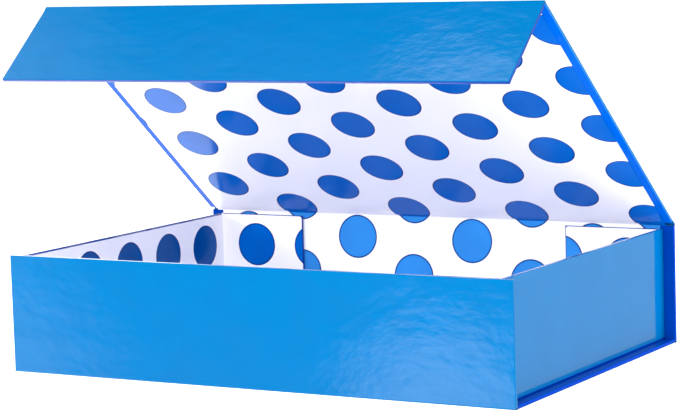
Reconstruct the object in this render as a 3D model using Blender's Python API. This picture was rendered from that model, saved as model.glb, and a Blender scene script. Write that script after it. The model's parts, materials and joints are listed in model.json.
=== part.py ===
"""Collapsible rigid storage box, lid half open.

Five case boards share one wrap: front flap, lid, back, base and front panel. Two side walls stand on
the base board, and each has a glue flap at either end. Every board is a panel: a greyboard core, a
wrap that turns in over its free edges, and a liner. Metres, +Z up, front towards -Y, origin at the
middle of the base on the surface that the box stands on.
"""

import math

import bmesh
import bpy
from mathutils import Matrix, Vector

# Driving sizes of the box
BOX_WIDTH = 0.280
BOX_DEPTH = 0.190
WALL_TOP = 0.059
BACK_TOP = 0.0606
FLAP_LENGTH = 0.052
RIM = 0.0055
GLUE_FLAP_LENGTH = 0.052

# Layers of a panel, from its outer face inwards
SHEET = 0.00015
GLUE = 0.0001
BOARD = 0.0015
CARD = 0.0004
TURN_IN = 0.015
LINER_BORDER = 0.004
LINER_TOP_INSET = 0.001

# Paper hinges
CREASE_R = 0.0003
CREASE_SIDES = 12
CREASE_GAP = 0.00015
LID_HINGE_GAP = 0.0032
LID_FRONT_GAP = 0.0006
FLAP_HINGE_GAP = 0.00225
FLAP_CLEARANCE = 0.0004
PIECE_GAP = 0.0002
GLUE_FLAP_PIVOT_GAP = 0.0004
GLUE_FLAP_CREASE_R = 0.00025

# Angles at rest
LID_OPEN_DEG = 38.7
FLAP_FOLD_DEG = 79.6

# Closure discs and adhesive strips
DISC_R = 0.005
DISC_THICKNESS = 0.001
POCKET_R = 0.0053
DISC_SIDES = 32
DISC_X = 0.090
DISC_FROM_FLAP_EDGE = 0.012
TAPE = 0.0002
TAPE_INSET = 0.005

# Worked out from the sizes above
EDGE = 2 * SHEET + 2 * GLUE + BOARD
PANEL = EDGE + GLUE + SHEET
GLUE_FLAP = 3 * SHEET + 3 * GLUE + CARD
CREASE_START = CREASE_R + CREASE_GAP
OUTER = -CREASE_R
HALF_DEPTH = BOX_DEPTH / 2
HINGE_Y = HALF_DEPTH - CREASE_R
BASE_END = HALF_DEPTH - PANEL - PIECE_GAP
LID_AXIS_Z = WALL_TOP + 0.0003 + PANEL - CREASE_R
LID_PITCH = HINGE_Y + HALF_DEPTH + FLAP_CLEARANCE + PANEL - CREASE_R
WALL_HALF_LENGTH = HALF_DEPTH - PANEL - GLUE - TAPE - GLUE - 0.00005
WALL_AXIS_X = BOX_WIDTH / 2 - RIM - CREASE_R
WALL_AXIS_Z = EDGE + CREASE_GAP + CREASE_R
WALL_INNER_X = WALL_AXIS_X - (PANEL - CREASE_R)
GLUE_FLAP_AXIS_X = WALL_INNER_X - GLUE_FLAP_PIVOT_GAP
GLUE_FLAP_AXIS_Y = WALL_HALF_LENGTH - GLUE_FLAP - GLUE_FLAP_PIVOT_GAP
GLUE_FLAP_LOW = PANEL + 0.0008
GLUE_FLAP_TOP = WALL_TOP - 0.0001

BLUE = (0.0, 0.27, 0.74, 1.0)
GREYBOARD = (0.30, 0.29, 0.27, 1.0)
LINER_WHITE = (0.88, 0.87, 0.97, 1.0)
STEEL = (0.60, 0.60, 0.62, 1.0)
TAPE_WHITE = (0.85, 0.85, 0.80, 1.0)

# Name, colour, roughness, metallic
FINISHES = {
    "wrap": (BLUE, 0.18, 0.0),
    "crease": (BLUE, 0.25, 0.0),
    "board": (GREYBOARD, 0.9, 0.0),
    "liner": (LINER_WHITE, 0.45, 0.0),
    "metal": (STEEL, 0.3, 1.0),
    "tape": (TAPE_WHITE, 0.6, 0.0),
}


def clear_scene():
    for old in list(bpy.data.objects):
        bpy.data.objects.remove(old, do_unlink=True)


def finish_material(name, kind):
    colour, roughness, metallic = FINISHES[kind]
    material = bpy.data.materials.new(name)
    material.use_nodes = True
    shader = material.node_tree.nodes["Principled BSDF"]
    shader.inputs["Base Color"].default_value = colour
    shader.inputs["Roughness"].default_value = roughness
    shader.inputs["Metallic"].default_value = metallic
    material.diffuse_color = colour
    return material


def frame_matrix(origin, across, along):
    """Axes of a panel: X across it, Y away from its hinge, Z from its outer face to its inner one."""
    across = Vector(across).normalized()
    along = Vector(along).normalized()
    inward = across.cross(along)
    matrix = Matrix((across, along, inward)).transposed().to_4x4()
    matrix.translation = Vector(origin)
    return matrix


def body(name, matrix):
    """An empty on the joint's axis, which carries the body's pieces."""
    empty = bpy.data.objects.new(name, None)
    empty.empty_display_size = 0.01
    empty.matrix_world = matrix
    bpy.context.collection.objects.link(empty)
    return empty


def add_piece(name, kind, mesh_builder, parent):
    mesh = bpy.data.meshes.new(name)
    mesh_builder.to_mesh(mesh)
    mesh_builder.free()
    mesh.materials.append(finish_material(name, kind))
    piece = bpy.data.objects.new(name, mesh)
    piece.parent = parent
    bpy.context.collection.objects.link(piece)
    return piece


def cells(cuts, filled):
    """A closed mesh of the filled cells of a grid cut at the given x, y and z."""
    builder = bmesh.new()
    counts = [len(axis_cuts) - 1 for axis_cuts in cuts]
    corner_verts = {}

    def solid(cell):
        inside = all(0 <= cell[a] < counts[a] for a in range(3))
        return inside and filled(*cell)

    def vert(corner):
        if corner not in corner_verts:
            corner_verts[corner] = builder.verts.new([cuts[a][corner[a]] for a in range(3)])
        return corner_verts[corner]

    for i in range(counts[0]):
        for j in range(counts[1]):
            for k in range(counts[2]):
                if not solid((i, j, k)):
                    continue
                for axis in range(3):
                    for side in (0, 1):
                        beyond = [i, j, k]
                        beyond[axis] += 2 * side - 1
                        if solid(tuple(beyond)):
                            continue
                        first, second = [a for a in range(3) if a != axis]
                        ring = []
                        for step_a, step_b in ((0, 0), (1, 0), (1, 1), (0, 1)):
                            corner = [i, j, k]
                            corner[axis] += side
                            corner[first] += step_a
                            corner[second] += step_b
                            ring.append(vert(tuple(corner)))
                        if (side == 1) == (axis == 1):
                            ring.reverse()
                        builder.faces.new(ring)
    bmesh.ops.dissolve_limit(
        builder, angle_limit=math.radians(1), verts=builder.verts[:], edges=builder.edges[:]
    )
    return builder


def slab(name, kind, parent, low, high):
    """A plain rectangular piece between two corners in its body's axes."""
    cuts = [(low[a], high[a]) for a in range(3)]
    return add_piece(name, kind, cells(cuts, lambda i, j, k: True), parent)


def wrap(name, parent, half_width, start, end, thickness, tongues=(0.0, 0.0), free_end=False,
         free_sides=True, turn_in=TURN_IN):
    """The covering sheet: outer face, free edges and turn-ins, and a tongue towards each hinge."""
    across = [-half_width, half_width]
    if free_sides:
        across += [-half_width + SHEET, half_width - SHEET]
        across += [-half_width + turn_in, half_width - turn_in]
    across = sorted(across)
    along = [start, end]
    if free_end:
        along += [end - SHEET, end - turn_in]
    if tongues[0]:
        along.append(start - tongues[0])
    if tongues[1]:
        along.append(end + tongues[1])
    along = sorted(along)
    through = [OUTER, OUTER + SHEET, OUTER + thickness - SHEET, OUTER + thickness]
    last_across = len(across) - 2
    last_along = len(along) - 2

    def filled(i, j, k):
        if k == 0:
            return True
        in_panel = start - SHEET / 2 < along[j] and along[j + 1] < end + SHEET / 2
        if not in_panel:
            return False
        side_rim = free_sides and i in (0, last_across)
        end_rim = free_end and j == last_along
        if k == 1:
            return side_rim or end_rim
        side_lip = free_sides and i in (0, 1, last_across - 1, last_across)
        end_lip = free_end and j >= last_along - 1
        return side_lip or end_lip

    return add_piece(name, "wrap", cells([across, along, through], filled), parent)


def panel(name, parent, half_width, start, end, tongues=(0.0, 0.0), free_end=False, free_sides=True,
          liner_half_width=None, liner_end=None):
    """Greyboard core, wrap and liner of one board; returns the core."""
    inset = SHEET + GLUE
    side_inset = inset if free_sides else 0.0
    core_end = end - inset if free_end else end
    core = slab(
        name + "_board", "board", parent,
        (-half_width + side_inset, start, OUTER + inset),
        (half_width - side_inset, core_end, OUTER + inset + BOARD),
    )
    wrap(name + "_wrap", parent, half_width, start, end, EDGE, tongues, free_end, free_sides)
    liner_half = half_width - LINER_BORDER if liner_half_width is None else liner_half_width
    slab(
        name + "_liner", "liner", parent,
        (-liner_half, start, OUTER + EDGE + GLUE),
        (liner_half, end if liner_end is None else liner_end, OUTER + PANEL),
    )
    return core


def rod(name, kind, parent, axis, radius, sides, low, high):
    """A prism with many sides along one of its body's axes, from low to high."""
    builder = bmesh.new()
    bmesh.ops.create_cone(
        builder, cap_ends=True, segments=sides, radius1=radius, radius2=radius, depth=high - low
    )
    turn = {"X": Matrix.Rotation(math.radians(90), 4, "Y"), "Z": Matrix.Identity(4)}[axis]
    middle = Vector((0, 0, (low + high) / 2))
    bmesh.ops.transform(builder, matrix=turn @ Matrix.Translation(middle), verts=builder.verts[:])
    piece = add_piece(name, kind, builder, parent)
    piece.data.shade_smooth()
    piece.data.set_sharp_from_angle(angle=math.radians(40))
    return piece


def crease(name, parent, half_length, radius=CREASE_R, along=0.0):
    """The bead of folded paper on a hinge's axis, a distance along its body from the body's own axis."""
    bead = rod(name, "crease", parent, "X", radius, CREASE_SIDES, -half_length, half_length)
    bead.location = (0, along, 0)
    return bead


def closure_discs(core, parent, along, names):
    """Two metal discs, each in a round pocket that goes through the core."""
    middle = OUTER + SHEET + GLUE + BOARD / 2
    for name, across in zip(names, (-DISC_X, DISC_X)):
        cutter = rod(name + "_pocket", "board", parent, "Z", POCKET_R, DISC_SIDES, -BOARD, BOARD)
        cutter.location = (across, along, middle)
        cutter.hide_render = True
        cutter.display_type = "WIRE"
        pocket = core.modifiers.new(name + "_pocket", "BOOLEAN")
        pocket.operation = "DIFFERENCE"
        pocket.solver = "EXACT"
        pocket.object = cutter
        half = DISC_THICKNESS / 2
        disc = rod(name, "metal", parent, "Z", DISC_R, DISC_SIDES, -half, half)
        disc.location = (across, along, middle)


def tilted(angle_deg):
    """Unit vector in the YZ plane, turned from +Y towards +Z."""
    angle = math.radians(angle_deg)
    return Vector((0, math.cos(angle), math.sin(angle)))


def build_base():
    root = body("base_frame", frame_matrix((0, 0, CREASE_R), (1, 0, 0), (0, 1, 0)))
    reach = HINGE_Y - CREASE_START - BASE_END
    panel(
        "base", root, BOX_WIDTH / 2, -BASE_END, BASE_END, tongues=(reach, reach),
        liner_half_width=WALL_INNER_X + 0.001,
    )
    for name, side in (("base_front_crease", -1), ("base_back_crease", 1)):
        crease(name, root, BOX_WIDTH / 2, along=side * HINGE_Y)


def build_front_panel():
    frame = frame_matrix((0, -HINGE_Y, CREASE_R), (-1, 0, 0), (0, 0, 1))
    front = body("front_panel_frame", frame)
    top = WALL_TOP - CREASE_R
    core = panel(
        "front_panel", front, BOX_WIDTH / 2, CREASE_START, top, free_end=True,
        liner_end=top - LINER_TOP_INSET,
    )
    disc_z = LID_AXIS_Z - (FLAP_LENGTH - DISC_FROM_FLAP_EDGE)
    closure_discs(core, front, disc_z - CREASE_R, ("right_keeper_disc", "left_keeper_disc"))


def build_back():
    back = body("back_frame", frame_matrix((0, HINGE_Y, CREASE_R), (1, 0, 0), (0, 0, 1)))
    top = BACK_TOP - CREASE_R
    lid_axis = LID_AXIS_Z - CREASE_R
    panel(
        "back", back, BOX_WIDTH / 2, CREASE_START, top,
        tongues=(0.0, lid_axis - CREASE_START - top),
    )
    crease("back_lid_crease", back, BOX_WIDTH / 2, along=lid_axis)


def build_lid():
    along = tilted(180 - LID_OPEN_DEG)
    axis = Vector((0, HINGE_Y, LID_AXIS_Z))
    lid = body("lid_frame", frame_matrix(axis, (1, 0, 0), along))
    panel(
        "lid", lid, BOX_WIDTH / 2, LID_HINGE_GAP, LID_PITCH - LID_FRONT_GAP,
        tongues=(LID_HINGE_GAP - CREASE_START, LID_FRONT_GAP - CREASE_START),
    )
    crease("lid_flap_crease", lid, BOX_WIDTH / 2, along=LID_PITCH)
    return axis + along * LID_PITCH


def build_front_flap(axis):
    along = tilted(180 - LID_OPEN_DEG + FLAP_FOLD_DEG)
    flap = body("front_flap_frame", frame_matrix(axis, (1, 0, 0), along))
    core = panel(
        "front_flap", flap, BOX_WIDTH / 2, FLAP_HINGE_GAP, FLAP_LENGTH,
        tongues=(FLAP_HINGE_GAP - CREASE_START, 0.0), free_end=True,
        liner_end=FLAP_LENGTH - LINER_BORDER,
    )
    along_discs = FLAP_LENGTH - DISC_FROM_FLAP_EDGE
    closure_discs(core, flap, along_discs, ("left_magnet", "right_magnet"))


def build_side_wall(side_name, side):
    """side is -1 for the left wall and 1 for the right one."""
    wall_frame = frame_matrix((side * WALL_AXIS_X, 0, WALL_AXIS_Z), (0, -side, 0), (0, 0, 1))
    wall = body(side_name + "_wall_frame", wall_frame)
    top = WALL_TOP - WALL_AXIS_Z
    panel(
        side_name + "_wall", wall, WALL_HALF_LENGTH, CREASE_START, top, free_end=True,
        free_sides=False, liner_half_width=GLUE_FLAP_AXIS_Y - GLUE_FLAP_PIVOT_GAP,
        liner_end=top - LINER_TOP_INSET,
    )
    crease(side_name + "_wall_crease", wall, BASE_END - PIECE_GAP)
    for end_name, end in (("rear", 1), ("front", -1)):
        build_glue_flap(side_name + "_" + end_name, side, end)


def build_glue_flap(name, side, end):
    """The flap at one end of a side wall, glued to the back or to the front panel."""
    middle_z = (GLUE_FLAP_LOW + GLUE_FLAP_TOP) / 2
    half_height = (GLUE_FLAP_TOP - GLUE_FLAP_LOW) / 2
    axis = (side * GLUE_FLAP_AXIS_X, end * GLUE_FLAP_AXIS_Y, middle_z)
    flap = body(name + "_flap_frame", frame_matrix(axis, (0, 0, side * end), (-side, 0, 0)))
    root_end = -GLUE_FLAP_PIVOT_GAP / 2
    outer = -GLUE_FLAP_PIVOT_GAP - GLUE_FLAP
    inset = SHEET + GLUE
    slab(
        name + "_flap_card", "board", flap,
        (-half_height + inset, root_end, outer + inset),
        (half_height - inset, GLUE_FLAP_LENGTH - inset, outer + inset + CARD),
    )
    cover = wrap(
        name + "_flap_cover", flap, half_height, root_end, GLUE_FLAP_LENGTH, 2 * inset + CARD,
        free_end=True, turn_in=LINER_BORDER,
    )
    cover.location = (0, 0, outer - OUTER)
    slab(
        name + "_flap_liner", "liner", flap,
        (-half_height + LINER_TOP_INSET, root_end, outer + GLUE_FLAP - SHEET),
        (half_height - LINER_TOP_INSET, GLUE_FLAP_LENGTH - LINER_TOP_INSET, outer + GLUE_FLAP),
    )
    slab(
        name + "_flap_tape", "tape", flap,
        (-half_height + TAPE_INSET, TAPE_INSET, outer - GLUE - TAPE),
        (half_height - TAPE_INSET, GLUE_FLAP_LENGTH - TAPE_INSET, outer - GLUE),
    )
    crease(name + "_flap_crease", flap, half_height, radius=GLUE_FLAP_CREASE_R)


def main():
    clear_scene()
    build_base()
    build_front_panel()
    build_back()
    flap_axis = build_lid()
    build_front_flap(flap_axis)
    for side_name, side in (("left", -1), ("right", 1)):
        build_side_wall(side_name, side)


main()
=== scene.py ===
"""Looks of the collapsible storage box: wrapped boards, paper hinges, dotted liner, studio light."""
import json
import math

import bmesh
import bpy
from mathutils import Matrix, Vector


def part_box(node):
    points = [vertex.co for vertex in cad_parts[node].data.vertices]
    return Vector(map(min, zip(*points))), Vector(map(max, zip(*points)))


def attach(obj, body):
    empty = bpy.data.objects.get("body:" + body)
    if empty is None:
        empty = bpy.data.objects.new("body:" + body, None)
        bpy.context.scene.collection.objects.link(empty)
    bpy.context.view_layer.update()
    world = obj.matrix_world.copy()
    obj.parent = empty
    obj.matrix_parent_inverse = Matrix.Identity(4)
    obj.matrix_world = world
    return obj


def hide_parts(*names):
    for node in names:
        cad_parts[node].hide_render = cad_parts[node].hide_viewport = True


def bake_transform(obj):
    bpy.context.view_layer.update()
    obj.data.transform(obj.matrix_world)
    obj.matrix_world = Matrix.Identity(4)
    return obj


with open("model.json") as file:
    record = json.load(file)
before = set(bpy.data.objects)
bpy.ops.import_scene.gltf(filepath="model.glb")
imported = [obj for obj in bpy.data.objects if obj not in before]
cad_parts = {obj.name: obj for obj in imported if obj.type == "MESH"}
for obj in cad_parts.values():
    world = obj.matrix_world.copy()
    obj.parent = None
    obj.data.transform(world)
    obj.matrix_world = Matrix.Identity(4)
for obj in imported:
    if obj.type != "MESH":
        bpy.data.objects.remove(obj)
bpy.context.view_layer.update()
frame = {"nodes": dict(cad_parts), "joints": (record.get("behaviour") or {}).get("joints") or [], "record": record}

MM = 0.001

# Layers of a panel, as the frame has them
SHEET = 0.15 * MM
GLUE = 0.1 * MM
EDGE = 2.0 * MM
PANEL = 2.25 * MM
CREASE_R = 0.3 * MM
CREASE_START = 0.45 * MM
OUTER = -CREASE_R
TURN_IN = 15 * MM
LINER_BORDER = 4 * MM
FOLD_R = 0.4 * MM
HINGE_SHEET = 0.22 * MM
GROOVE_SHEET = 0.12 * MM
CREASE_SHEET = 0.12 * MM
CORNER_SHEET = 0.1 * MM

# Gaps that the boards leave at their hinges, and the flap's length
LID_GAP = 3.2 * MM
LID_FRONT_GAP = 0.6 * MM
FLAP_GAP = 2.25 * MM
FLAP_LENGTH = 52 * MM

# How far the lining's grooves start from a board's edge, and how deep they are pressed
LID_GROOVE_IN = 1.1 * MM
LID_GROOVE_DEEP = 0.75 * MM
FLAP_GROOVE_IN = 0.9 * MM
FLAP_GROOVE_DEEP = 1.0 * MM

# How far a wall's hinge paper laps onto the base
WALL_HINGE_LAP = 0.7 * MM

# A glue flap's folds and margins
FLAP_ROOT = -0.2 * MM
FLAP_FOLD_R = 0.25 * MM
FLAP_TURN_IN = 4 * MM
FLAP_SIDE_MARGIN = 0.4 * MM
FLAP_END_MARGIN = 0.55 * MM
FLAP_CORNER_R = 1.4 * MM
FRONT_FLAP_CORNER_R = 1.5 * MM

# Materials of a wrap's faces, by their place in its list; 1 and 3 are darker copies of the blue paper, painted
# shade, and 2 is a brighter copy, painted light
DEEP_PAINTED_SHADE, FOLD_PAINTED_LIGHT, RIM_PAINTED_SHADE = 1, 2, 3

# Printed dots: a triangular lattice, printed a little askew on the case's sheet
DOT_R = 12 * MM
CASE_LATTICE = (70.2 * MM, 40.74 * MM)
WALL_LATTICE = (69.4 * MM, 36.8 * MM)
DOT_X = 29.2 * MM
DOT_T = 29.5 * MM
DOT_SKEW = 0.038
SKEW_FROM = 111 * MM
WALL_DOT_BELOW_TOP = 17 * MM
WALL_CORNER_TO_DOT = 20.3 * MM
FLAP_CORNER_TO_DOT = {"left": 21.7 * MM, "right": 17.3 * MM}

# Camera
CAMERA_PLACE = (615.3 * MM, -1068.0 * MM, 217.6 * MM)
CAMERA_YAW = 0.52476
CAMERA_PITCH = 0.11335
CAMERA_ROLL = -0.03141
CAMERA_LENS = 130.0
SENSOR = 36.0

# Light: the tent's brightness, the dim room that gloss mirrors, and the cards in that room.
# A card is its direction, the angles where it starts and stops fading, and its brightness.
TENT = 0.66
ROOM_IN_GLOSS = 0.0
CARDS = (
    ((-0.655, -0.727, -0.208), 4.0, 7.6, 0.70),
    ((-0.459, -0.867, -0.196), 0.7, 3.0, 1.25),
    ((-0.55, -0.78, -0.30), 3.0, 10.0, 0.30),
    ((-0.66, 0.02, 0.75), 3.0, 8.0, 0.45),
    ((-0.452, 0.040, 0.890), 0.8, 2.8, 0.95),
    ((-0.53, -0.06, 0.845), 3.0, 9.5, 0.28),
    ((0.41, 0.90, -0.15), 12.0, 28.0, 0.34),
    ((-0.50, 0.86, 0.11), 6.0, 14.0, 2.2),
    ((-0.58, 0.22, -0.79), 8.0, 22.0, 4.6),
    ((-0.51, 0.62, 0.60), 8.0, 18.0, 1.3),
    ((-0.90, 0.30, 0.30), 12.0, 36.0, 0.6),
    ((0.80, -0.50, 0.40), 14.0, 40.0, 0.6),
)

joints = {joint["name"]: joint for joint in frame["joints"]}


# ---------------------------------------------------------------- where things are

def frame_matrix(origin, across, along):
    """Axes of a panel: X across it, Y away from its hinge, Z from its outer face to its inner one."""
    across = Vector(across).normalized()
    along = Vector(along).normalized()
    matrix = Matrix((across, along, across.cross(along))).transposed().to_4x4()
    matrix.translation = Vector(origin)
    return matrix


def tilted(angle_deg):
    """Unit vector in the YZ plane, turned from +Y towards +Z."""
    angle = math.radians(angle_deg)
    return Vector((0, math.cos(angle), math.sin(angle)))


lid_axis = Vector(joints["lid_hinge"]["pos_m"])
flap_axis = Vector(joints["flap_hinge"]["pos_m"])
back_axis = Vector(joints["back_fold"]["pos_m"])
front_axis = Vector(joints["front_panel_fold"]["pos_m"])
lid_angle = 180 - joints["lid_hinge"]["range_deg"][1]
flap_angle = lid_angle - joints["flap_hinge"]["range_deg"][0]
lid_pitch = (flap_axis - lid_axis).length

half_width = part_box("base_wrap")[1].x
base_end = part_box("base_board")[1].y
back_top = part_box("back_board")[1].z
wall_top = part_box("left_wall_wrap")[1].z
wall_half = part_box("left_wall_board")[1].y
lid_start = LID_GAP
lid_end = lid_pitch - LID_FRONT_GAP
flap_start = FLAP_GAP
flap_end = FLAP_LENGTH

base_frame = frame_matrix((0, 0, CREASE_R), (1, 0, 0), (0, 1, 0))
front_frame = frame_matrix(front_axis, (-1, 0, 0), (0, 0, 1))
back_frame = frame_matrix(back_axis, (1, 0, 0), (0, 0, 1))
lid_frame = frame_matrix(lid_axis, (1, 0, 0), tilted(lid_angle))
flap_frame = frame_matrix(flap_axis, (1, 0, 0), tilted(flap_angle))


# ---------------------------------------------------------------- shader helpers

class Shader:
    """A material's node tree with short calls for its nodes."""

    def __init__(self, name):
        self.material = bpy.data.materials.new(name)
        self.material.use_nodes = True
        self.tree = self.material.node_tree
        self.surface = self.tree.nodes["Principled BSDF"]

    def put(self, socket, value):
        if isinstance(value, bpy.types.NodeSocket):
            self.tree.links.new(value, socket)
        else:
            socket.default_value = value

    def set(self, **sockets):
        for name, value in sockets.items():
            self.put(self.surface.inputs[name.replace("_", " ")], value)

    def math(self, operation, *values, clamp=False):
        node = self.tree.nodes.new("ShaderNodeMath")
        node.operation = operation
        node.use_clamp = clamp
        for socket, value in zip(node.inputs, values):
            self.put(socket, value)
        return node.outputs[0]

    def ramp(self, value, low, high, to_low=0.0, to_high=1.0):
        node = self.tree.nodes.new("ShaderNodeMapRange")
        node.interpolation_type = "SMOOTHSTEP"
        for socket, part in zip(node.inputs, (value, low, high, to_low, to_high)):
            self.put(socket, part)
        return node.outputs[0]

    def mix(self, factor, first, second):
        node = self.tree.nodes.new("ShaderNodeMix")
        node.data_type = "RGBA"
        self.put(node.inputs[0], factor)
        self.put(node.inputs[6], first)
        self.put(node.inputs[7], second)
        return node.outputs[2]

    def coordinates(self, kind):
        return self.tree.nodes.new("ShaderNodeTexCoord").outputs[kind]

    def split(self, vector):
        node = self.tree.nodes.new("ShaderNodeSeparateXYZ")
        self.put(node.inputs[0], vector)
        return node.outputs

    def stretch(self, vector, scale):
        node = self.tree.nodes.new("ShaderNodeMapping")
        self.put(node.inputs["Vector"], vector)
        node.inputs["Scale"].default_value = scale
        return node.outputs[0]

    def noise(self, vector, scale, detail=2.0, roughness=0.5):
        node = self.tree.nodes.new("ShaderNodeTexNoise")
        self.put(node.inputs["Vector"], vector)
        node.inputs["Scale"].default_value = scale
        node.inputs["Detail"].default_value = detail
        node.inputs["Roughness"].default_value = roughness
        return node.outputs[0]

    def bump(self, height, distance, strength=1.0, below=None):
        node = self.tree.nodes.new("ShaderNodeBump")
        node.inputs["Strength"].default_value = strength
        node.inputs["Distance"].default_value = distance
        self.put(node.inputs["Height"], height)
        if below is not None:
            self.put(node.inputs["Normal"], below)
        return node.outputs[0]


def laminate(name, colour, deep, coat=1.0, ior=1.5):
    """Gloss-laminated printed paper: orange peel in the film, ink mottle and fibres under it."""
    shader = Shader(name)
    sheet = shader.coordinates("UV")
    mottle = shader.noise(sheet, 45.0, 4.0, 0.6)
    ink = shader.noise(sheet, 900.0, 3.0, 0.6)
    tone = shader.math("ADD", shader.math("MULTIPLY", mottle, 0.7), shader.math("MULTIPLY", ink, 0.3))
    shader.set(Base_Color=shader.mix(shader.ramp(tone, 0.35, 0.65), colour, deep))
    shader.set(Roughness=shader.ramp(mottle, 0.3, 0.7, 0.06, 0.10))
    waves = shader.noise(shader.stretch(sheet, (1.0, 1.7, 1.0)), 38.0, 2.0, 0.5)
    peel = shader.noise(shader.stretch(sheet, (1.0, 1.3, 1.0)), 230.0, 2.0, 0.5)
    normal = shader.bump(waves, 0.10 * MM)
    normal = shader.bump(peel, 0.022 * MM, 1.0, normal)
    normal = shader.bump(ink, 0.002 * MM, 1.0, normal)
    shader.set(Normal=normal, Coat_Normal=normal)
    shader.set(IOR=ior, Coat_Weight=coat, Coat_Roughness=0.03, Coat_IOR=1.5)
    return shader.material


def lattice_distance(shader, across, along, lattice):
    """Distance from a point of the sheet to the middle of its nearest dot."""
    found = None
    for shift in (0.0, 0.5):
        square = 0.0
        for value, period in zip((across, along), lattice):
            shifted = shader.math("ADD", value, shift * period)
            side = shader.math("PINGPONG", shifted, period / 2)
            square = shader.math("ADD", shader.math("MULTIPLY", side, side), square)
        distance = shader.math("SQRT", square)
        found = distance if found is None else shader.math("MINIMUM", found, distance)
    return found


def liner_material(name, lattice, dot, dot_light):
    """White lining paper with glossy blue dots, each with a darker printed edge."""
    shader = Shader(name)
    sheet = shader.coordinates("UV")
    x, y, _ = shader.split(sheet)
    distance = lattice_distance(shader, x, y, lattice)
    fibre = shader.noise(shader.stretch(sheet, (1.0, 2.4, 1.0)), 1400.0, 4.0, 0.65)
    cloud = shader.noise(sheet, 30.0, 3.0, 0.5)
    white = shader.mix(shader.ramp(fibre, 0.3, 0.7), (0.87, 0.86, 0.93, 1), (0.92, 0.91, 0.965, 1))
    blue = shader.mix(shader.ramp(cloud, 0.35, 0.65), dot, dot_light)
    rim = shader.ramp(distance, DOT_R - 0.95 * MM, DOT_R - 0.5 * MM)
    blue = shader.mix(rim, blue, (0.0, 0.028, 0.18, 1))
    outside = shader.ramp(distance, DOT_R - 0.08 * MM, DOT_R + 0.08 * MM)
    shader.set(Base_Color=shader.mix(outside, blue, white))
    shader.set(Roughness=shader.ramp(fibre, 0.3, 0.7, 0.12, 0.17))
    shader.set(Specular_Tint=shader.mix(outside, (0.06, 0.62, 1.0, 1), (1, 1, 1, 1)))
    ink_step = shader.bump(shader.math("SUBTRACT", 1.0, outside), 0.01 * MM, 0.6)
    normal = shader.bump(cloud, 0.08 * MM, 0.6, ink_step)
    normal = shader.bump(fibre, 0.003 * MM, 1.0, normal)
    shader.set(Normal=normal)
    shader.set(IOR=1.22)
    return shader.material


def greyboard_material():
    """Raw recycled board: felted grey fibres with pale and dark flecks."""
    shader = Shader("greyboard")
    place = shader.coordinates("Object")
    fibre = shader.noise(place, 1500.0, 5.0, 0.7)
    fleck = shader.noise(place, 420.0, 2.0, 0.6)
    grey = shader.mix(shader.ramp(fibre, 0.3, 0.7), (0.20, 0.19, 0.17, 1), (0.38, 0.36, 0.33, 1))
    colour = shader.mix(shader.ramp(fleck, 0.66, 0.72), grey, (0.55, 0.52, 0.47, 1))
    colour = shader.mix(shader.ramp(fleck, 0.34, 0.28), colour, (0.10, 0.09, 0.085, 1))
    shader.set(Base_Color=colour, Roughness=shader.ramp(fibre, 0.2, 0.8, 0.8, 0.95))
    shader.set(Normal=shader.bump(fibre, 0.05 * MM, 0.7))
    return shader.material


def tape_material():
    """Double-sided tape: glossy release paper with a faint crosswise crinkle."""
    shader = Shader("adhesive_tape")
    place = shader.coordinates("Object")
    crinkle = shader.noise(shader.stretch(place, (1.0, 1.0, 6.0)), 160.0, 3.0, 0.6)
    pulp = shader.noise(place, 1200.0, 3.0, 0.6)
    shader.set(Base_Color=shader.mix(pulp, (0.78, 0.77, 0.70, 1), (0.86, 0.85, 0.80, 1)))
    shader.set(Roughness=shader.ramp(crinkle, 0.3, 0.7, 0.35, 0.5))
    shader.set(Normal=shader.bump(crinkle, 0.03 * MM, 0.5))
    return shader.material


def metal_material(name, colour, roughness):
    """Plated disc: fine tumbling scratches and a slight mottle in the plating."""
    shader = Shader(name)
    place = shader.coordinates("Object")
    scratch = shader.noise(shader.stretch(place, (1.0, 9.0, 1.0)), 900.0, 3.0, 0.6)
    mottle = shader.noise(place, 240.0, 2.0, 0.5)
    bright = [min(1.0, part * 1.15) for part in colour[:3]] + [1]
    shader.set(Base_Color=shader.mix(mottle, colour, bright), Metallic=1.0)
    shader.set(Roughness=shader.ramp(scratch, 0.3, 0.7, roughness, roughness + 0.15))
    shader.set(Normal=shader.bump(scratch, 0.004 * MM, 0.5))
    return shader.material


WRAP = laminate("wrap_gloss", (0.0, 0.130, 0.345, 1), (0.0, 0.122, 0.328, 1))
# A brighter, purer blue copy of the wrap paper for turned-in margins: painted light.
WRAP_FOLD_PAINTED_LIGHT = laminate("wrap_fold_painted_light", (0.0, 0.105, 0.58, 1), (0.0, 0.095, 0.54, 1), 0.0, 1.12)
# A darker copy of the wrap paper for board edges and margins: painted shade.
WRAP_DEEP_PAINTED_SHADE = laminate("wrap_deep_painted_shade", (0.0, 0.034, 0.26, 1), (0.0, 0.030, 0.24, 1))
# A darker, uncoated copy of the wrap paper for the base's and back's edges and the walls' hinge strips: painted
# shade.
WRAP_RIM_PAINTED_SHADE = laminate("wrap_rim_painted_shade", (0.0, 0.040, 0.33, 1), (0.0, 0.036, 0.31, 1), 0.0, 1.12)
DOT_BLUE = ((0.0, 0.095, 0.45, 1), (0.0, 0.110, 0.50, 1))
# Darker dots of the same print: painted shade on the walls' linings.
DOT_PAINTED_SHADE = ((0.0, 0.058, 0.26, 1), (0.0, 0.068, 0.29, 1))
# Paler dots of the same print: painted sheen on the back's and the right flap's linings.
DOT_PAINTED_SHEEN = ((0.03, 0.215, 0.61, 1), (0.03, 0.240, 0.66, 1))
LINER = liner_material("liner_paper", CASE_LATTICE, *DOT_BLUE)
# The back's lining: the case's print with paler dots, painted sheen.
BACK_LINER_PAINTED_SHEEN = liner_material("back_liner_paper_painted_sheen", CASE_LATTICE, *DOT_PAINTED_SHEEN)
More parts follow.
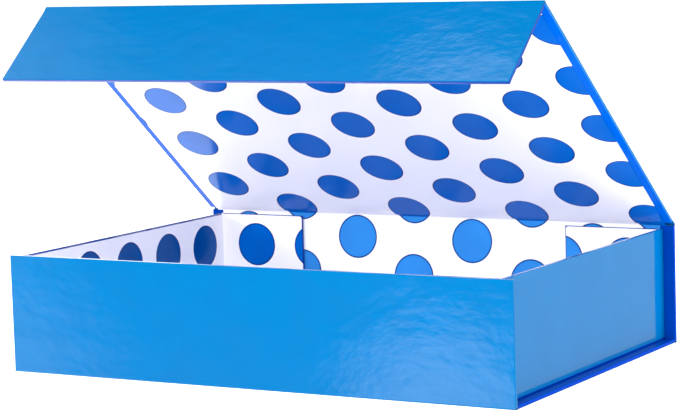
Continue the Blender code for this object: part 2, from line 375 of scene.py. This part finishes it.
# The walls' linings: their own lattice, with darker dots, painted shade.
WALL_LINER_PAINTED_SHADE = liner_material("wall_liner_paper_painted_shade", WALL_LATTICE, *DOT_PAINTED_SHADE)
# The right flap's lining has paler dots than the left's: painted sheen.
FLAP_LINER = {
    "left": liner_material("left_flap_liner_paper", WALL_LATTICE, *DOT_BLUE),
    "right": liner_material("right_flap_liner_paper_painted_sheen", WALL_LATTICE, *DOT_PAINTED_SHEEN),
}
GREYBOARD = greyboard_material()
TAPE = tape_material()
MAGNET = metal_material("nickel_plate", (0.62, 0.60, 0.56, 1), 0.16)
KEEPER = metal_material("zinc_plate", (0.52, 0.54, 0.57, 1), 0.30)


# ---------------------------------------------------------------- mesh helpers

def finish_piece(name, builder, matrix, materials, body, nodes=()):
    """Puts a mesh in the frame as a piece that rides on a body; without a body it is left unattached."""
    mesh = bpy.data.meshes.new(name)
    bmesh.ops.transform(builder, matrix=matrix, verts=builder.verts[:])
    builder.normal_update()
    builder.to_mesh(mesh)
    builder.free()
    for material in materials:
        mesh.materials.append(material)
    piece = bpy.data.objects.new(name, mesh)
    bpy.context.collection.objects.link(piece)
    mesh.shade_smooth()
    if isinstance(body, str):
        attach(piece, body)
    if nodes:
        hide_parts(*nodes)
    return piece


def add_modifiers(piece, sheet=None):
    """Gives a sheet its thickness, and keeps flat faces flat where they meet a rounded edge."""
    if sheet:
        solid = piece.modifiers.new("sheet", "SOLIDIFY")
        solid.thickness = sheet
        solid.offset = -1
        solid.use_even_offset = True
    normals = piece.modifiers.new("normals", "WEIGHTED_NORMAL")
    normals.mode = "FACE_AREA"
    normals.weight = 100
    normals.keep_sharp = True


def box_mesh(low, high):
    builder = bmesh.new()
    bmesh.ops.create_cube(builder, size=1.0)
    size = [high[a] - low[a] for a in range(3)]
    middle = [(high[a] + low[a]) / 2 for a in range(3)]
    scale = Matrix.Diagonal((*size, 1.0))
    bmesh.ops.transform(builder, matrix=Matrix.Translation(middle) @ scale, verts=builder.verts[:])
    return builder


def lay_uv(builder, to_sheet):
    """UVs in metres on the sheet, from each point's place in its panel."""
    layer = builder.loops.layers.uv.verify()
    for face in builder.faces:
        for loop in face.loops:
            loop[layer].uv = to_sheet(loop.vert.co)


def wrap_shell(name, body, matrix, half, start, end, free_end, thickness=EDGE, fold=FOLD_R,
               turn_in=TURN_IN, low=OUTER, nodes=(), sheet_offset=0.0, ends=0, turned=FOLD_PAINTED_LIGHT):
    """The covering sheet round one board, open under the liner. Hinge edges stay square outside.

    ends and turned say which material its edges and its turned-in margin take. sheet_offset moves
    the panel along the printed sheet, so that no two panels show the same mottle.
    """
    builder = box_mesh((-half, start, low), (half, end, low + thickness))
    near = 1e-6

    def at(edge, axis, value):
        return all(abs(vert.co[axis] - value) < near for vert in edge.verts)

    square = []
    for edge in builder.edges:
        hinge_edge = at(edge, 1, start) or (at(edge, 1, end) and not free_end)
        if at(edge, 2, low) and hinge_edge:
            square.append(edge)
    round_edges = [edge for edge in builder.edges if edge not in square]
    bmesh.ops.bevel(
        builder, geom=round_edges, offset=fold, segments=4, profile=0.5, affect="EDGES",
        clamp_overlap=True,
    )
    window = max(
        (face for face in builder.faces if face.normal.z > 0.9), key=lambda face: face.calc_area()
    )
    bmesh.ops.inset_individual(builder, faces=[window], thickness=turn_in - fold, use_even_offset=True)
    bmesh.ops.delete(builder, geom=[window], context="FACES_ONLY")
    builder.normal_update()
    # Edges and turned-in margins take the materials named by ends and turned; the darker copies of the paper among
    # them are painted shade, the brighter one painted light.
    for face in builder.faces:
        if face.normal.z < -0.3:
            face.material_index = 0
        elif abs(face.normal.z) < 0.3:
            face.material_index = ends
        else:
            face.material_index = turned
    lay_uv(builder, lambda co: (co.x, co.y + sheet_offset + co.z * 0.37))
    piece = finish_piece(
        name, builder, matrix, (WRAP, WRAP_DEEP_PAINTED_SHADE, WRAP_FOLD_PAINTED_LIGHT, WRAP_RIM_PAINTED_SHADE), body, nodes)
    add_modifiers(piece, SHEET)
    return piece


def liner_sheet(name, body, matrix, low, high, to_sheet, corner_r=0.0, nodes=(), paper=LINER):
    """A lining sheet with its free corners rounded."""
    builder = box_mesh(low, high)
    if corner_r:
        corners = [
            edge for edge in builder.edges
            if abs(edge.verts[0].co.z - edge.verts[1].co.z) > 1e-6
            and edge.verts[0].co.y > (low[1] + high[1]) / 2
        ]
        bmesh.ops.bevel(
            builder, geom=corners, offset=corner_r, segments=6, profile=0.5, affect="EDGES"
        )
    rims = [
        edge for edge in builder.edges
        if all(vert.co.z > high[2] - 1e-7 for vert in edge.verts)
    ]
    bmesh.ops.bevel(builder, geom=rims, offset=0.05 * MM, segments=2, profile=0.5, affect="EDGES")
    lay_uv(builder, to_sheet)
    piece = finish_piece(name, builder, matrix, (paper,), body, nodes)
    add_modifiers(piece)
    return piece


def arc(centre, radius, from_deg, to_deg, steps):
    """Points on a circle in the plane of a hinge's cross-section, both ends included."""
    points = []
    for step in range(steps + 1):
        angle = math.radians(from_deg + (to_deg - from_deg) * step / steps)
        points.append((centre[0] + radius * math.cos(angle), centre[1] + radius * math.sin(angle)))
    return points


def resample(points, step):
    """Points along the same line, no further apart than a step."""
    dense = [points[0]]
    for first, second in zip(points, points[1:]):
        length = math.dist(first, second)
        count = max(1, math.ceil(length / step))
        for index in range(1, count + 1):
            part = index / count
            dense.append(tuple(first[a] + (second[a] - first[a]) * part for a in range(2)))
    return dense


def curve_between(first, bend, second, steps):
    """A quadratic curve in a hinge's cross-section, from one edge to the next."""
    points = []
    for step in range(steps + 1):
        part = step / steps
        weights = ((1 - part) ** 2, 2 * part * (1 - part), part ** 2)
        points.append(tuple(
            sum(weight * point[a] for weight, point in zip(weights, (first, bend, second)))
            for a in range(2)
        ))
    return points


def ribbon(name, points, thickness, low, high, place, materials, start_t,
           nodes=(), to_sheet=lambda across, run: (across, run)):
    """A strip of paper that crosses a hinge: a line in cross-section, thickened to its left."""
    builder = bmesh.new()
    offsets = []
    for index, point in enumerate(points):
        before = points[max(index - 1, 0)]
        after = points[min(index + 1, len(points) - 1)]
        run = Vector((after[0] - before[0], after[1] - before[1])).normalized()
        offsets.append((point[0] - run.y * thickness, point[1] + run.x * thickness))
    travelled = [start_t]
    for first, second in zip(points, points[1:]):
        travelled.append(travelled[-1] + math.dist(first, second))
    rows = []
    for end in (low, high):
        top = [builder.verts.new(place(end, *point)) for point in points]
        under = [builder.verts.new(place(end, *point)) for point in offsets]
        rows.append((top, under))
    layer = builder.loops.layers.uv.verify()
    uv_of = {}
    for end, (top, under) in zip((low, high), rows):
        for index in range(len(points)):
            uv_of[top[index]] = uv_of[under[index]] = to_sheet(end, travelled[index])
    (top_a, under_a), (top_b, under_b) = rows
    count = len(points)
    for i in range(count - 1):
        builder.faces.new((top_a[i], top_a[i + 1], top_b[i + 1], top_b[i]))
        builder.faces.new((under_a[i + 1], under_a[i], under_b[i], under_b[i + 1]))
        builder.faces.new((top_a[i + 1], top_a[i], under_a[i], under_a[i + 1]))
        builder.faces.new((top_b[i], top_b[i + 1], under_b[i + 1], under_b[i]))
    builder.faces.new((top_a[0], top_b[0], under_b[0], under_a[0]))
    builder.faces.new((top_b[-1], top_a[-1], under_a[-1], under_b[-1]))
    bmesh.ops.recalc_face_normals(builder, faces=builder.faces[:])
    for face in builder.faces:
        for loop in face.loops:
            loop[layer].uv = uv_of[loop.vert]
    piece = finish_piece(name, builder, Matrix.Identity(4), materials, None, nodes)
    piece.data.set_sharp_from_angle(angle=math.radians(50))
    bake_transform(piece)
    return piece


# ---------------------------------------------------------------- the case: wraps and liners

LINER_LOW = OUTER + EDGE + GLUE
LINER_HIGH = OUTER + PANEL
GROOVE = 2.3 * MM
back_sheet_t = lid_start - GROOVE


def case_wraps():
    front_top = wall_top - CREASE_R
    # The base's and back's edges and margins take a darker, uncoated copy of the paper: painted shade.
    wrap_shell("base_case_wrap", "base", base_frame, half_width, -base_end, base_end, False,
               nodes=("base_wrap",), sheet_offset=-0.25, ends=RIM_PAINTED_SHADE, turned=RIM_PAINTED_SHADE)
    # The front panel's turned-in margin takes a darker copy of the paper: painted shade.
    wrap_shell("front_panel_case_wrap", "front_panel", front_frame, half_width, CREASE_START,
               front_top, True, nodes=("front_panel_wrap",), sheet_offset=-0.5, turned=DEEP_PAINTED_SHADE)
    wrap_shell("back_case_wrap", "back", back_frame, half_width, CREASE_START,
               back_top - CREASE_R, False, nodes=("back_wrap",), sheet_offset=-0.06, ends=RIM_PAINTED_SHADE, turned=RIM_PAINTED_SHADE)
    # The lid's turned-in margin takes a brighter, purer blue copy of the paper: painted light.
    wrap_shell("lid_case_wrap", "lid", lid_frame, half_width, lid_start, lid_end, False,
               nodes=("lid_wrap",))
    # The flap's edges take a darker copy of the paper: painted shade.
    wrap_shell("front_flap_case_wrap", "front_flap", flap_frame, half_width, flap_start, flap_end,
               True, nodes=("front_flap_wrap",), sheet_offset=lid_pitch, ends=DEEP_PAINTED_SHADE)


def dot_place(across, run):
    """Where a point of the case's lining lies in the dots' lattice; run starts at the lid's hinge."""
    return (across - DOT_X - DOT_SKEW * (run - SKEW_FROM), run - DOT_T)


def liner_half_width(node):
    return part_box(node)[1].x


def case_liners():
    """The case's linings. On the back and front panel they stop short of the walls' outer faces."""

    def sheet_from(offset):
        return lambda co: dot_place(co.x, co.y + offset)

    back_end = back_top - CREASE_R
    half = liner_half_width("lid_liner")
    liner_sheet("lid_lining", "lid", lid_frame, (-half, lid_start, LINER_LOW),
                (half, lid_end, LINER_HIGH), sheet_from(0.0), nodes=("lid_liner",))
    between_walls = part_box("right_wall_board")[0].x
    # The back's lining has paler dots: painted sheen.
    liner_sheet("back_lining", "back", back_frame, (-between_walls, CREASE_START, LINER_LOW),
                (between_walls, back_end, LINER_HIGH), sheet_from(back_sheet_t - back_end),
                nodes=("back_liner",), paper=BACK_LINER_PAINTED_SHEEN)
    half = liner_half_width("front_flap_liner")
    liner_sheet("front_flap_lining", "front_flap", flap_frame, (-half, flap_start, LINER_LOW),
                (half, flap_end - LINER_BORDER, LINER_HIGH), sheet_from(lid_pitch),
                corner_r=FRONT_FLAP_CORNER_R, nodes=("front_flap_liner",))
    base_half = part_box("base_liner")[1].x
    base_offset = back_sheet_t - back_end - base_end
    liner_sheet("base_lining", "base", base_frame, (-base_half, -base_end, LINER_LOW),
                (base_half, base_end, LINER_HIGH), sheet_from(base_offset), nodes=("base_liner",))
    front_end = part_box("front_panel_liner")[1].z - CREASE_R
    liner_sheet("front_panel_lining", "front_panel", front_frame,
                (-between_walls, CREASE_START, LINER_LOW), (between_walls, front_end, LINER_HIGH),
                lambda co: dot_place(-co.x, base_offset - base_end - co.y),
                nodes=("front_panel_liner",))


def in_yz(across, y, z):
    return (across, y, z)


def outer_corner(axis, from_point, from_deg, to_deg, to_point):
    """Outer line of a hinge: flat up to the crease, round it, and flat again."""
    return resample([from_point, *arc(axis, CREASE_R, from_deg, to_deg, 8), to_point], 0.8 * MM)


def local_point(matrix, along, through):
    """A point of a panel's cross-section, in Y and Z."""
    point = matrix @ Vector((0, along, through))
    return (point.y, point.z)


def case_hinges():
    lid_centre = (lid_axis.y, lid_axis.z)
    flap_centre = (flap_axis.y, flap_axis.z)
    back_centre = (back_axis.y, back_axis.z)
    front_centre = (front_axis.y, front_axis.z)

    ribbon("lid_hinge_wrap", outer_corner(
        lid_centre, local_point(back_frame, back_top - CREASE_R, OUTER), 0, lid_angle - 90,
        local_point(lid_frame, lid_start, OUTER)),
        HINGE_SHEET, -half_width, half_width, in_yz, (WRAP,), 0.0,
        nodes=("back_lid_crease",))
    ribbon("flap_hinge_wrap", outer_corner(
        flap_centre, local_point(lid_frame, lid_end, OUTER), lid_angle - 90, flap_angle - 90,
        local_point(flap_frame, flap_start, OUTER)),
        HINGE_SHEET, -half_width, half_width, in_yz, (WRAP,),
        lid_end, nodes=("lid_flap_crease",))
    ribbon("base_back_hinge_wrap", outer_corner(
        back_centre, local_point(base_frame, base_end, OUTER), -90, 0,
        local_point(back_frame, CREASE_START, OUTER)),
        HINGE_SHEET, -half_width, half_width, in_yz, (WRAP,),
        -0.25 + base_end, nodes=("base_back_crease",))
    front_path = outer_corner(
        front_centre, local_point(base_frame, -base_end, OUTER), -90, -180,
        local_point(front_frame, CREASE_START, OUTER))
    ribbon("base_front_hinge_wrap", front_path, -HINGE_SHEET, -half_width, half_width, in_yz,
           (WRAP,), -0.3,
           nodes=("base_front_crease",))

    liner_half = liner_half_width("back_liner")
    back_edge = local_point(back_frame, back_top - CREASE_R, LINER_HIGH)
    lid_edge = local_point(lid_frame, lid_start, LINER_HIGH)
    hollow = local_point(lid_frame, lid_start - LID_GROOVE_IN, LINER_HIGH - LID_GROOVE_DEEP)
    ribbon("lid_hinge_lining", curve_between(back_edge, hollow, lid_edge, 10), GROOVE_SHEET,
           -liner_half, liner_half, in_yz, (LINER,), back_sheet_t,
           to_sheet=dot_place)
    lid_front = local_point(lid_frame, lid_end, LINER_HIGH)
    flap_root = local_point(flap_frame, flap_start, LINER_HIGH)
    corner = local_point(flap_frame, FLAP_GROOVE_IN, LINER_HIGH - FLAP_GROOVE_DEEP)
    liner_half = liner_half_width("lid_liner")
    ribbon("flap_hinge_lining", curve_between(lid_front, corner, flap_root, 10), GROOVE_SHEET,
           -liner_half, liner_half, in_yz, (LINER,), lid_end,
           to_sheet=dot_place)


# ---------------------------------------------------------------- side walls and their glue flaps

def side_walls():
    for side_name, side in (("left", -1), ("right", 1)):
        wall = side_name + "_wall"
        axis = Vector(joints[wall + "_fold"]["pos_m"])
        matrix = frame_matrix(axis, (0, -side, 0), (0, 0, 1))
        top = wall_top - axis.z
        # The wall's edges and margin take a darker copy of the paper: painted shade.
        wrap_shell(wall + "_cover", wall, matrix, wall_half, CREASE_START, top, True,
                   nodes=(wall + "_wrap",), sheet_offset=0.3, ends=DEEP_PAINTED_SHADE, turned=DEEP_PAINTED_SHADE)
        liner_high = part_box(wall + "_liner")[1]
        run = liner_high.y
        # The wall's lining has darker dots: painted shade.
        liner_sheet(
            wall + "_lining", wall, matrix, (-run, CREASE_START, LINER_LOW),
            (run, liner_high.z - axis.z, LINER_HIGH),
            lambda co, top=top, side=side: (
                top - co.y - WALL_DOT_BELOW_TOP, wall_half + side * co.x - WALL_CORNER_TO_DOT),
            nodes=(wall + "_liner",), paper=WALL_LINER_PAINTED_SHADE)

        def in_xz(across, x, z, side=side):
            return (side * x, across, z)

        outside = side * axis.x + CREASE_R
        path = resample([
            (outside, axis.z + CREASE_START),
            *arc((side * axis.x, axis.z), CREASE_R, 0, -90, 6),
            (side * axis.x - WALL_HINGE_LAP, axis.z - CREASE_R),
        ], 0.5 * MM)
        # The hinge strip takes a darker, uncoated copy of the paper: painted shade where the wall stands on the
        # base.
        ribbon(wall + "_hinge", path, -CREASE_SHEET, -wall_half,
               wall_half, in_xz, (WRAP_RIM_PAINTED_SHADE,), 0.0,
               nodes=(wall + "_crease",))
        for end_name, end in (("rear", 1), ("front", -1)):
            glue_flap(side_name, side, end_name, end)


def glue_flap(side_name, side, end_name, end):
    name = f"{side_name}_{end_name}_flap"
    axis = Vector(joints[name + "_fold"]["pos_m"])
    matrix = frame_matrix(axis, (0, 0, side * end), (-side, 0, 0))
    cover_low, cover_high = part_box(name + "_cover")
    half_height = (cover_high.z - cover_low.z) / 2
    length = (cover_high - cover_low).x + FLAP_ROOT
    thickness = cover_high.y - cover_low.y
    back_face = -(max(abs(cover_low.y), abs(cover_high.y)) - abs(axis.y))
    # The glue flap's edges and margin take a darker copy of the paper: painted shade.
    wrap_shell(name + "_wrap", name, matrix, half_height, FLAP_ROOT, length, True,
               thickness=thickness, fold=FLAP_FOLD_R, turn_in=FLAP_TURN_IN, low=back_face,
               nodes=(name + "_cover",), sheet_offset=0.4, ends=DEEP_PAINTED_SHADE, turned=DEEP_PAINTED_SHADE)
    liner_face = back_face + thickness + GLUE
    half_liner = half_height - FLAP_SIDE_MARGIN
    up = side * end
    liner_sheet(
        name + "_lining", name, matrix, (-half_liner, FLAP_ROOT, liner_face),
        (half_liner, length - FLAP_END_MARGIN, liner_face + SHEET),
        lambda co: (
            half_height - up * co.x - WALL_DOT_BELOW_TOP, co.y - FLAP_CORNER_TO_DOT[side_name]),
        corner_r=FLAP_CORNER_R, nodes=(name + "_liner",), paper=FLAP_LINER[side_name])

    # The paper in the corner, from the wall's inner face round to the flap's
    wall_edge = (abs(axis.x) + 0.4 * MM, abs(axis.y) - 0.45 * MM)
    flap_edge = (abs(axis.x) - 0.1 * MM, abs(axis.y) + 0.4 * MM)
    bend = (abs(axis.x) + 0.35 * MM, abs(axis.y) + 0.35 * MM)
    path = curve_between(wall_edge, bend, flap_edge, 6)

    def in_xy(height, x, y):
        return (side * x, end * y, height)

    # The corner paper has the walls' darker dots: painted shade.
    ribbon(name + "_corner", path, -CORNER_SHEET, cover_low.z, cover_high.z, in_xy,
           (WALL_LINER_PAINTED_SHADE,), 0.0,
           nodes=(name + "_crease",),
           to_sheet=lambda height, run: (wall_top - WALL_DOT_BELOW_TOP - height, run - 15 * MM))


# ---------------------------------------------------------------- boards, tape and discs

def dress_nodes():
    looks = {
        "greyboard": GREYBOARD, "adhesive": TAPE, "magnet": MAGNET, "keeper_steel": KEEPER,
    }
    for part in frame["record"]["subparts"]:
        material = looks.get(part["material_slot"])
        node = frame["nodes"][part["node"]]
        if material is None or node.hide_render:
            continue
        node.data.materials.clear()
        node.data.materials.append(material)
        bevel = node.modifiers.new("worn_edge", "BEVEL")
        bevel.width = 0.06 * MM
        bevel.segments = 2
        bevel.limit_method = "ANGLE"


# ---------------------------------------------------------------- studio

def make_camera():
    data = bpy.data.cameras.new("camera")
    data.sensor_width = SENSOR
    data.lens = CAMERA_LENS
    data.clip_start = 0.05
    data.clip_end = 50
    camera = bpy.data.objects.new("camera", data)
    bpy.context.collection.objects.link(camera)
    forward = Vector((
        -math.sin(CAMERA_YAW) * math.cos(CAMERA_PITCH),
        math.cos(CAMERA_YAW) * math.cos(CAMERA_PITCH),
        -math.sin(CAMERA_PITCH),
    ))
    level = Vector((math.cos(CAMERA_YAW), math.sin(CAMERA_YAW), 0))
    above = level.cross(forward)
    right = level * math.cos(CAMERA_ROLL) + above * math.sin(CAMERA_ROLL)
    up = above * math.cos(CAMERA_ROLL) - level * math.sin(CAMERA_ROLL)
    matrix = Matrix((right, up, -forward)).transposed().to_4x4()
    matrix.translation = Vector(CAMERA_PLACE)
    camera.matrix_world = matrix
    bpy.context.scene.camera = camera


def area_light(name, place, target, size, power):
    data = bpy.data.lights.new(name, "AREA")
    data.shape = "RECTANGLE"
    data.size, data.size_y = size
    data.energy = power
    light = bpy.data.objects.new(name, data)
    bpy.context.collection.objects.link(light)
    light.location = place
    light.visible_glossy = False
    light.rotation_euler = (Vector(target) - Vector(place)).to_track_quat("-Z", "Y").to_euler()


def make_floor():
    builder = bmesh.new()
    bmesh.ops.create_grid(builder, x_segments=2, y_segments=2, size=6.0)
    mesh = bpy.data.meshes.new("floor")
    builder.to_mesh(mesh)
    builder.free()
    shader = Shader("floor_paper")
    grain = shader.noise(shader.coordinates("Object"), 300.0, 3.0)
    shader.set(Base_Color=shader.mix(grain, (0.90, 0.90, 0.91, 1), (0.94, 0.94, 0.95, 1)))
    shader.set(Roughness=0.9, Emission_Color=(1, 1, 1, 1), Emission_Strength=0.6)
    mesh.materials.append(shader.material)
    floor = bpy.data.objects.new("floor", mesh)
    bpy.context.collection.objects.link(floor)
    floor.location.z = -0.02 * MM
    floor.visible_glossy = False


def make_world():
    """A light tent for diffuse light; what gloss mirrors is a dark studio with a few soft cards."""
    world = bpy.data.worlds.new("studio")
    world.use_nodes = True
    tree = world.node_tree
    bpy.context.scene.world = world
    background = tree.nodes["Background"]
    direction = tree.nodes.new("ShaderNodeTexCoord").outputs["Generated"]

    def join(operation, first, second):
        node = tree.nodes.new("ShaderNodeMath")
        node.operation = operation
        for socket, value in zip(node.inputs, (first, second)):
            if isinstance(value, bpy.types.NodeSocket):
                tree.links.new(value, socket)
            else:
                socket.default_value = value
        return node.outputs[0]

    def card(towards, inner_deg, outer_deg, strength):
        dot = tree.nodes.new("ShaderNodeVectorMath")
        dot.operation = "DOT_PRODUCT"
        tree.links.new(direction, dot.inputs[0])
        dot.inputs[1].default_value = Vector(towards).normalized()
        angle = join("ARCCOSINE", join("MINIMUM", dot.outputs["Value"], 1.0), 0.0)
        fade = tree.nodes.new("ShaderNodeMapRange")
        fade.interpolation_type = "SMOOTHSTEP"
        tree.links.new(angle, fade.inputs["Value"])
        fade.inputs["From Min"].default_value = math.radians(inner_deg)
        fade.inputs["From Max"].default_value = math.radians(outer_deg)
        fade.inputs["To Min"].default_value = strength
        fade.inputs["To Max"].default_value = 0.0
        return fade.outputs["Result"]

    mirrored = ROOM_IN_GLOSS
    for towards, inner_deg, outer_deg, strength in CARDS:
        mirrored = join("ADD", card(towards, inner_deg, outer_deg, strength), mirrored)
    path = tree.nodes.new("ShaderNodeLightPath").outputs
    choice = tree.nodes.new("ShaderNodeMix")
    tree.links.new(path["Is Glossy Ray"], choice.inputs[0])
    choice.inputs[2].default_value = TENT
    tree.links.new(mirrored, choice.inputs[3])
    shown = tree.nodes.new("ShaderNodeMix")
    tree.links.new(path["Is Camera Ray"], shown.inputs[0])
    tree.links.new(choice.outputs[0], shown.inputs[2])
    shown.inputs[3].default_value = 1.0
    tree.links.new(shown.outputs[0], background.inputs["Strength"])
    background.inputs["Color"].default_value = (1.0, 1.0, 1.0, 1.0)


def make_lights():
    middle = (0, 0, 0.06)
    area_light("key", (0.9, -2.0, 0.75), middle, (1.5, 0.6), 36)
    area_light("front_left", (-1.3, -1.4, 0.55), middle, (1.0, 0.4), 16)
    area_light("top_front", (0.1, -1.0, 2.0), middle, (1.4, 1.0), 34)
    area_light("rear_right", (1.5, 1.2, 0.3), middle, (1.0, 0.5), 41)
    area_light("rear_left", (-1.2, 1.6, 1.0), middle, (1.2, 1.2), 22)


case_wraps()
case_liners()
case_hinges()
side_walls()
dress_nodes()
make_camera()
make_floor()
make_world()
make_lights()
bpy.context.scene.view_settings.view_transform = "Standard"
